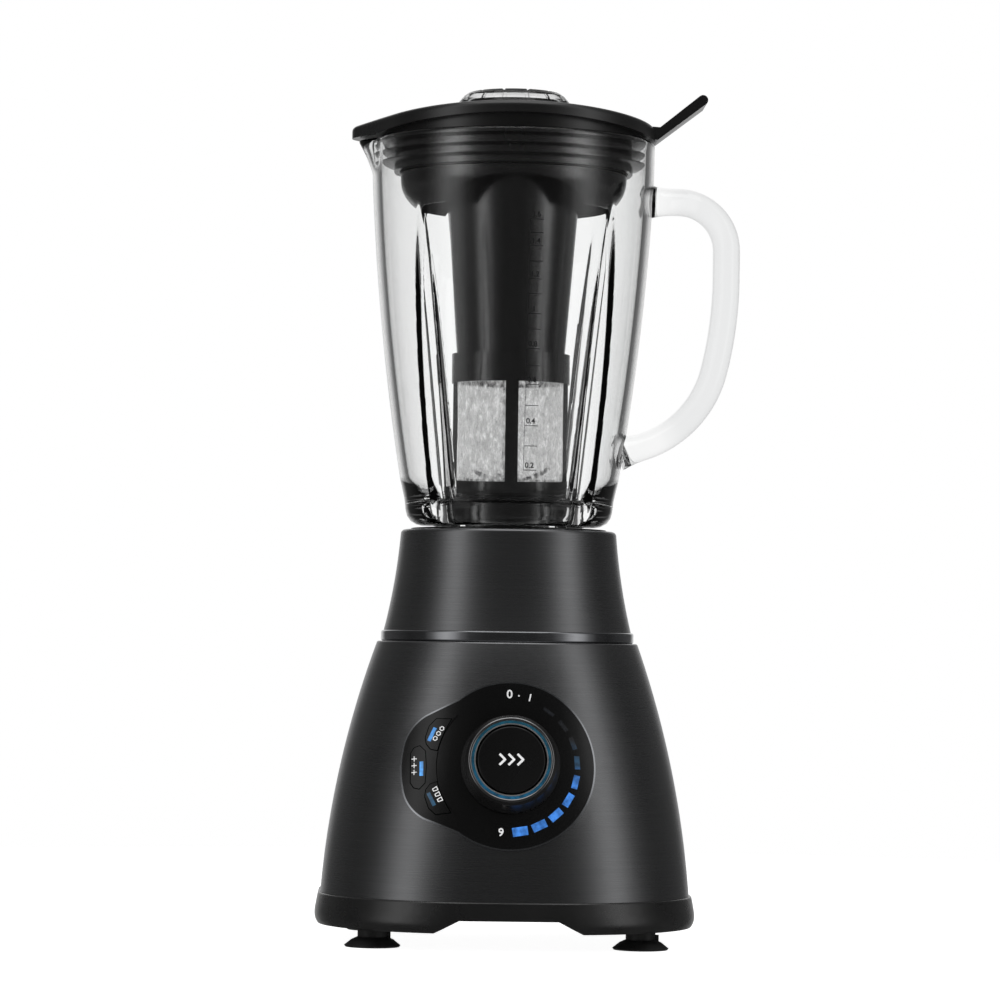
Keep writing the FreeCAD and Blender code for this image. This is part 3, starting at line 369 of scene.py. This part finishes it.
def jug_profile():
    """Closed outline of the glass, up the outside from the neck and down the inside.

    Each point is r, z and side: "o" and "i" follow the outer and inner flutes, "" follows none.
    """
    steps, rim_steps = 46, 8
    heights = [WALL_LOW + (WALL_HIGH - WALL_LOW) * i / steps for i in range(steps + 1)]
    neck = [(31, 199, ""), (34, 199, ""), (38, 199.4, ""), (38, 205, ""), (38, 210.4, ""), (39, 210.6, "")]
    foot = [(44.6, 210.6), (47.5, 211.2), (50.4, 213.0), (52.2, 215.6), (53.0, 218.6)]
    foot += [(53.6, 224.0), (54.8, 229.5)]
    wall = [(jug_radius(z), z) for z in heights]
    climb = [i / rim_steps for i in range(rim_steps + 1)]
    collar = [(72.3 + 0.3 * t, WALL_HIGH + 18.4 * t) for t in climb[1:]]
    rim = [(72.3, 407.3, "o"), (71.6, 407.9, "o"), (70.4, 408.0, ""), (69.2, 407.9, "i"), (68.4, 407.3, "i")]
    mouth = [(67.8 + 0.4 * t, WALL_HIGH + 18.4 * t) for t in climb[:-1]]
    inside = [(jug_radius(z) - JUG_WALL, z) for z in heights[:-1]]
    floor = [(50.0, 231.0), (48.5, 228.0), (46.8, 223.8), (45.0, 222.6)]
    bore = [(42.1, 222.0, ""), (34, 222, ""), (31.2, 221.8, ""), (31, 221, ""), (31, 210, "")]
    outer = [(r, z, "o") for r, z in foot + wall + collar]
    inner = [(r, z, "i") for r, z in mouth[::-1] + inside[::-1] + floor]
    return neck + outer + rim + inner + bore


def jug_angles():
    angles = set(range(0, 360, 2))
    for flute in FLUTE_ANGLES:
        for i in range(-28, 29):
            angles.add((flute + i * 0.5) % 360)
    return sorted(angles)


def mesh_object(name, verts, faces, smooth=True):
    mesh = bpy.data.meshes.new(name)
    mesh.from_pydata(verts, [], faces)
    mesh.update()
    if smooth:
        mesh.polygons.foreach_set("use_smooth", [True] * len(mesh.polygons))
    obj = bpy.data.objects.new(name, mesh)
    bpy.context.scene.collection.objects.link(obj)
    return obj


def jug_bowl():
    profile, angles = jug_profile(), jug_angles()
    verts, faces = [], []
    for degrees in angles:
        a = math.radians(degrees)
        for r, z, side in profile:
            if side:
                r = spouted(fluted(r, degrees, z, side == "i"), degrees, z)
            elif z > RIM_Z - 1:
                r = spouted(r, degrees, z)
            verts.append((r * math.cos(a) * MM, r * math.sin(a) * MM, z * MM))
    rows, columns = len(profile), len(angles)
    for c in range(columns):
        n = (c + 1) % columns
        for i in range(rows):
            j = (i + 1) % rows
            faces.append((c * rows + i, n * rows + i, n * rows + j, c * rows + j))
    return mesh_object("jug_bowl", verts, faces)


def handle_line():
    """Centre line of the grip in the XZ plane as points with their directions."""
    pts = []

    def sweep(cx, cz, r, first, last, count):
        for i in range(count + 1):
            a = math.radians(first + (last - first) * i / count)
            pts.append((cx + r * math.cos(a), cz - r * math.sin(a), -math.sin(a), -math.cos(a)))

    for i in range(6):
        pts.append((69.0 + 15.0 * i / 5, 379.0, 1.0, 0.0))
    sweep(85.2, 354.0, 25.0, -90, 0, 16)
    pts.append((110.2, 347.0, 0.0, -1.0))
    sweep(-89.8, 340.0, 200.0, 0, 14, 14)
    a = math.radians(14)
    cx, cz = -89.8 + 145.0 * math.cos(a), 340.0 - 145.0 * math.sin(a)
    sweep(cx, cz, 55.0, 17, 75, 20)
    x, z, dx, dz = pts[-1]
    for i in range(1, 5):
        pts.append((x + dx * 9 * i / 4, z + dz * 9 * i / 4, dx, dz))
    return pts


def handle():
    pts = handle_line()
    count, verts, faces = 36, [], []
    length = [0.0]
    for a, b in zip(pts, pts[1:]):
        length.append(length[-1] + math.hypot(b[0] - a[0], b[1] - a[1]))
    for (x, z, dx, dz), run in zip(pts, length):
        near_end = max(0.0, 1 - min(run, length[-1] - run) / 13.0)
        grow = 1 + 0.3 * near_end ** 2
        for i in range(count):
            a = 2 * math.pi * i / count
            across, side = 7.0 * grow * math.cos(a), 10.0 * grow * math.sin(a)
            verts.append(((x + dz * across) * MM, side * MM, (z - dx * across) * MM))
    for k in range(len(pts) - 1):
        for i in range(count):
            j = (i + 1) % count
            faces.append((k * count + i, k * count + j, (k + 1) * count + j, (k + 1) * count + i))
    faces.append(tuple(range(count - 1, -1, -1)))
    last = (len(pts) - 1) * count
    faces.append(tuple(range(last, last + count)))
    return mesh_object("jug_handle", verts, faces)


def outward(obj):
    bm = bmesh.new()
    bm.from_mesh(obj.data)
    bmesh.ops.recalc_face_normals(bm, faces=bm.faces)
    bm.to_mesh(obj.data)
    bm.free()


def make_jug():
    bowl, grip = jug_bowl(), handle()
    outward(bowl)
    outward(grip)
    joined = bowl.modifiers.new("handle", "BOOLEAN")
    joined.operation = "UNION"
    joined.solver = "EXACT"
    joined.object = grip
    depsgraph = bpy.context.evaluated_depsgraph_get()
    mesh = bpy.data.meshes.new_from_object(bowl.evaluated_get(depsgraph))
    bpy.data.objects.remove(bowl)
    bpy.data.objects.remove(grip)
    mesh.name = "pressed_glass_jug"
    mesh.materials.clear()
    mesh.materials.append(MATERIALS["clear_glass"])
    mesh.polygons.foreach_set("use_smooth", [True] * len(mesh.polygons))
    jug = bpy.data.objects.new("pressed_glass_jug", mesh)
    bpy.context.scene.collection.objects.link(jug)
    mesh.set_sharp_from_angle(angle=math.radians(42))
    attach(jug, "jug")
    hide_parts("glass_jug")
    return jug


# ------------------------------------------------------------------ printing and icons
def surface_tree(*objects):
    """Ray-casting tree of the objects in world space."""
    verts, faces = [], []
    for obj in objects:
        base = len(verts)
        verts += [obj.matrix_world @ v.co for v in obj.data.vertices]
        faces += [[base + i for i in poly.vertices] for poly in obj.data.polygons]
    return BVHTree.FromPolygons(verts, faces)


def text_shape(words, height):
    """Flat letters as a bmesh in mm, centred on the origin, height mm tall for a capital."""
    curve = bpy.data.curves.new("letters", "FONT")
    curve.body = words
    curve.align_x = "CENTER"
    curve.align_y = "CENTER"
    curve.size = height / 0.70
    curve.resolution_u = 6
    curve.offset = 0.1
    obj = bpy.data.objects.new("letters", curve)
    bpy.context.scene.collection.objects.link(obj)
    depsgraph = bpy.context.evaluated_depsgraph_get()
    mesh = bpy.data.meshes.new_from_object(obj.evaluated_get(depsgraph))
    bm = bmesh.new()
    bm.from_mesh(mesh)
    bpy.data.objects.remove(obj)
    bpy.data.meshes.remove(mesh)
    return bm


def outline_shape(*polygons):
    """Filled flat polygons, each a list of (x, y) in mm."""
    bm = bmesh.new()
    for polygon in polygons:
        bm.faces.new([bm.verts.new((x, y, 0)) for x, y in polygon])
    return bm


def stroke(points, width, closed=False):
    """Thick line through points as one quad per step."""
    quads = []
    ends = points + points[:1] if closed else points
    for (ax, ay), (bx, by) in zip(ends, ends[1:]):
        run = math.hypot(bx - ax, by - ay)
        ux, uy = (bx - ax) / run * width / 2, (by - ay) / run * width / 2
        ax, ay, bx, by = ax - ux * 0.6, ay - uy * 0.6, bx + ux * 0.6, by + uy * 0.6
        quads.append([(ax + uy, ay - ux), (ax - uy, ay + ux), (bx - uy, by + ux), (bx + uy, by - ux)])
    return quads


def moved(bm, x, y, degrees=0.0):
    turn = Matrix.Rotation(math.radians(degrees), 4, "Z")
    bmesh.ops.transform(bm, matrix=Matrix.Translation((x, y, 0)) @ turn, verts=bm.verts)
    return bm


def printed(name, body, shapes, lay, material):
    """Joins flat shapes into one thin printed piece; lay turns (x, y) in mm into a point in space."""
    whole = bmesh.new()
    for bm in shapes:
        mesh = bpy.data.meshes.new("part")
        bm.to_mesh(mesh)
        whole.from_mesh(mesh)
        bpy.data.meshes.remove(mesh)
        bm.free()
    bmesh.ops.triangulate(whole, faces=whole.faces)
    for vert in whole.verts:
        vert.co = lay(vert.co.x, vert.co.y)
    mesh = bpy.data.meshes.new(name)
    whole.to_mesh(mesh)
    whole.free()
    mesh.materials.append(material)
    obj = bpy.data.objects.new(name, mesh)
    bpy.context.scene.collection.objects.link(obj)
    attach(obj, body)
    return obj


def ink(name, colour):
    """Screen-printed ink with slightly uneven cover."""
    s = Shader(name, IOR=1.45)
    cover = s.noise(700.0, detail=4.0)
    darker = tuple(c * 0.82 for c in colour)
    s.set("Base Color", s.colours(cover, (0.3, darker), (0.7, colour)))
    s.set("Roughness", s.ramp(cover, 0.35, 0.55, 0.3, 0.7))
    return s


def panel_frame():
    """Panel's centre, right, up and outward directions, from the knob's joint."""
    joints = frame["record"]["behaviour"]["joints"]
    knob = next(joint for joint in joints if joint["name"] == "speed_knob")
    normal = -Vector(knob["axis"])
    right = Vector((1, 0, 0))
    up = normal.cross(right)
    return Vector(knob["pos_m"]), right, up.normalized(), normal.normalized()


def lay_on_panel(*names):
    centre, right, up, normal = panel_frame()
    tree = surface_tree(*(nodes[name] for name in names))

    def lay(x, y):
        start = centre + right * (x * MM) + up * (y * MM) + normal * 0.04
        hit = tree.ray_cast(start, -normal)[0]
        if hit is None:      # over the slot of a light bar
            hit = tree.find_nearest(start - normal * 0.045)[0]
        return hit + normal * 0.00012
    return lay


def ring_point(radius, degrees):
    a = math.radians(degrees)
    return radius * math.cos(a), radius * math.sin(a)


def print_panel():
    white = ink("white_ink_painted_glow", (0.86, 0.87, 0.88))
    # painted glow: the white print gets a faint emission so it reads brighter than the light on it
    white.bsdf.inputs["Emission Color"].default_value = (1, 1, 1, 1)
    white.bsdf.inputs["Emission Strength"].default_value = 0.35
    white = white.material
    dial = []
    dial.append(moved(text_shape("0", 4.2), *ring_point(35.6, 91)))
    dot = [ring_point(0.42, 30 * i) for i in range(12)]
    dial.append(moved(outline_shape(dot), *ring_point(35.2, 83.6)))
    dial.append(moved(text_shape("1", 3.6), *ring_point(35.2, 74.5), -12))
    dial.append(moved(text_shape("9", 3.8), *ring_point(33.6, -97.5), -2))
    printed("dial_numbers", "base", dial, lay_on_panel("control_fascia"), white)

    wings = []
    for x in (-5.6, -1.2, 3.2):
        wings += stroke([(x, 2.5), (x + 2.5, 0.0), (x, -2.5)], 1.1)
    printed("boost_chevrons", "turbo", [outline_shape(*wings)], lay_on_panel("turbo_button"), white)

    cube = stroke([ring_point(1.05, 30 + 60 * i) for i in range(6)], 0.42, True)
    sparkle = stroke([(-1.15, 0), (1.15, 0)], 0.42) + stroke([(0, -1.15), (0, 1.15)], 0.42)
    tumbler = stroke([(-0.9, 1.1), (-0.6, -1.1), (0.6, -1.1), (0.9, 1.1)], 0.42, True)
    icons = (
        ("crush", cube, -35.4, 16.4, 56, 2.9), ("clean", sparkle, -47.2, 1.0, 90, 3.4),
        ("smoothie", tumbler, -35.6, -14.2, -66, 2.9),
    )
    for key, glyph, x, y, degrees, pitch in icons:
        row = []
        for i in (-1, 0, 1):
            step = ring_point(i * pitch, degrees)
            row.append(moved(outline_shape(*glyph), x + step[0], y + step[1], degrees))
        printed(key + "_icon", key + "_button", row, lay_on_panel(key + "_key", "control_fascia"), white)


def print_scale(jug):
    """Measuring marks in litres on the outside of the glass, just right of the front."""
    tree = surface_tree(jug)
    marks = (
        ("0.2", 237.5), ("", 249.5), ("0.4", 259.5), ("", 269.6), ("0.6", 280.0), ("", 289.2),
        ("0.8", 297.6), ("", 307.2), ("1", 315.0), ("", 324.8), ("1.2", 332.2), ("", 341.0),
        ("1.4", 348.6), ("", 355.2), ("1.6", 361.8),
    )
    shapes = []
    for words, z in marks:
        x = 5.2 + (z - 237.5) * 0.012
        shapes.append(outline_shape(*stroke([(x, z), (x + 2.2, z), (x + 4.4, z), (x + 6.5, z)], 0.36)))
        if words:
            shapes.append(moved(text_shape(words, 2.6), x + 3.0, z + 2.3))
    start_z, end_z = marks[0][1], marks[-1][1]
    edge = []
    for i in range(25):
        z = start_z + (end_z - start_z) * i / 24
        edge.append((5.2 + (z - 237.5) * 0.012, z))
    shapes.append(outline_shape(*stroke(edge, 0.2)))

    def lay(x, z):
        a = math.asin(x / jug_radius(z)) - math.pi / 2
        away = Vector((math.cos(a), math.sin(a), 0))
        hit, _, _, _ = tree.ray_cast(away * 0.1 + Vector((0, 0, z * MM)), -away)
        return hit + away * 0.00006
    printed("litre_scale", "jug", shapes, lay, ink("black_ink", (0.012, 0.012, 0.013)).material)


jug = make_jug()
print_scale(jug)
print_panel()


# ------------------------------------------------------------------ surroundings
def make_floor():
    """Pale round floor that fades into the background."""
    bpy.ops.mesh.primitive_circle_add(vertices=96, radius=3.0, fill_type="NGON")
    floor = bpy.context.object
    floor.name = "floor"
    s = Shader("pale_floor", Roughness=0.6, Emission_Strength=0.95)
    s.set("Base Color", s.colours(s.noise(3.0), (0.3, grey(0.86)), (0.7, grey(0.9))))
    s.bsdf.inputs["Emission Color"].default_value = (1, 1, 1, 1)
    length = s.node("VectorMath", operation="LENGTH")
    s.link(s.place(), length.inputs[0])
    s.set("Alpha", s.ramp(length.outputs["Value"], 1.0, 0.0, 0.25, 0.9))
    floor.data.materials.append(s.material)
    floor.visible_glossy = False
    floor.visible_transmission = False


# what shiny surfaces see, by compass angle: 0 is in front of the object, minus is to the left
SURROUNDINGS = (
    (-180, 1.00), (-163, 0.85), (-150, 0.13), (-100, 0.04),
    (-80, 0.06), (-71, 0.26), (-63, 0.78), (-56, 1.00), (-49, 0.76), (-41, 0.28), (-33, 0.10),
    (-18, 0.05), (18, 0.05),
    (36, 0.09), (46, 0.28), (54, 0.76), (61, 1.00), (68, 0.78), (76, 0.26), (85, 0.07),
    (100, 0.04), (150, 0.13), (163, 0.85), (180, 1.00),
)


def make_world():
    """White background; shiny surfaces see a dark room with a tall soft strip on each side."""
    world = bpy.data.worlds.new("studio")
    bpy.context.scene.world = world
    world.use_nodes = True
    tree = world.node_tree
    tree.nodes.clear()
    link = tree.links.new

    def math_node(operation, *values):
        made = tree.nodes.new("ShaderNodeMath")
        made.operation = operation
        for slot, value in zip(made.inputs, values):
            if isinstance(value, (int, float)):
                slot.default_value = value
            else:
                link(value, slot)
        return made.outputs[0]

    def mapped(source, start, end, low, high):
        made = tree.nodes.new("ShaderNodeMapRange")
        for socket, value in zip(list(made.inputs)[1:5], (start, end, low, high)):
            socket.default_value = value
        link(source, made.inputs["Value"])
        return made.outputs["Result"]

    def mixed(factor, a, b):
        made = tree.nodes.new("ShaderNodeMix")
        made.data_type = "FLOAT"
        link(factor, made.inputs["Factor"])
        for socket, value in (("A", a), ("B", b)):
            if isinstance(value, (int, float)):
                made.inputs[socket].default_value = value
            else:
                link(value, made.inputs[socket])
        return made.outputs["Result"]

    coords = tree.nodes.new("ShaderNodeTexCoord")
    split = tree.nodes.new("ShaderNodeSeparateXYZ")
    link(coords.outputs["Generated"], split.inputs[0])
    x, y, z = split.outputs
    compass = math_node("ARCTAN2", x, math_node("MULTIPLY", y, -1.0))
    ring = tree.nodes.new("ShaderNodeValToRGB")
    points = ring.color_ramp.elements
    while len(points) < len(SURROUNDINGS):
        points.new(0.5)
    for point, (angle, value) in zip(points, SURROUNDINGS):
        point.position = (angle + 180) / 360
        point.color = (value, value, value, 1)
    link(mapped(compass, -math.pi, math.pi, 0, 1), ring.inputs["Fac"])
    level = math_node("MULTIPLY", ring.outputs["Color"], 0.92)
    room = mixed(mapped(z, 0.6, 0.95, 0, 1), level, 0.35)
    room = mixed(mapped(z, -0.1, -0.4, 0, 1), room, 0.06)
    through_glass = mapped(y, -0.2, 0.3, 0.86, 1.0)
    path = tree.nodes.new("ShaderNodeLightPath")
    bounces = math_node("ADD", path.outputs["Diffuse Depth"], path.outputs["Glossy Depth"])
    bounced = math_node("MINIMUM", bounces, 1.0)
    background = tree.nodes.new("ShaderNodeBackground")
    background.inputs["Color"].default_value = (1, 1, 1, 1)
    output = tree.nodes.new("ShaderNodeOutputWorld")
    link(mixed(bounced, through_glass, room), background.inputs["Strength"])
    link(background.outputs[0], output.inputs["Surface"])


def softbox(name, azimuth, height, distance, size, power):
    """Rectangular soft light that faces the object; azimuth 0 is in front of it."""
    data = bpy.data.lights.new(name, "AREA")
    data.shape = "RECTANGLE"
    data.size, data.size_y = size
    data.energy = power
    lamp = bpy.data.objects.new(name, data)
    bpy.context.scene.collection.objects.link(lamp)
    a = math.radians(azimuth)
    lamp.location = (distance * math.sin(a), -distance * math.cos(a), height)
    aim = Vector((0, 0, 0.22)) - lamp.location
    lamp.rotation_euler = aim.to_track_quat("-Z", "Z").to_euler()


def make_lights():
    softbox("top_box", 0, 1.9, 0.5, (1.6, 1.6), 7)


def make_camera():
    """Long lens from the front, just above the base, tilted up a little and rolled a touch."""
    data = bpy.data.cameras.new("camera")
    data.lens = 144.0
    data.sensor_width = 36.0
    camera = bpy.data.objects.new("camera", data)
    bpy.context.scene.collection.objects.link(camera)
    distance, turn = 2.05, math.radians(1.6)
    aim = Vector((-0.0046, 0, 0.2244))
    camera.location = (aim.x - distance * math.sin(turn), -distance * math.cos(turn), 0.150)
    look = (aim - camera.location).to_track_quat("-Z", "Y")
    roll = Matrix.Rotation(math.radians(0.8), 4, "Z")
    camera.rotation_euler = (look.to_matrix().to_4x4() @ roll).to_euler()
    bpy.context.scene.camera = camera


bpy.context.scene.view_settings.view_transform = "Standard"
make_camera()
make_world()
make_lights()
make_floor()
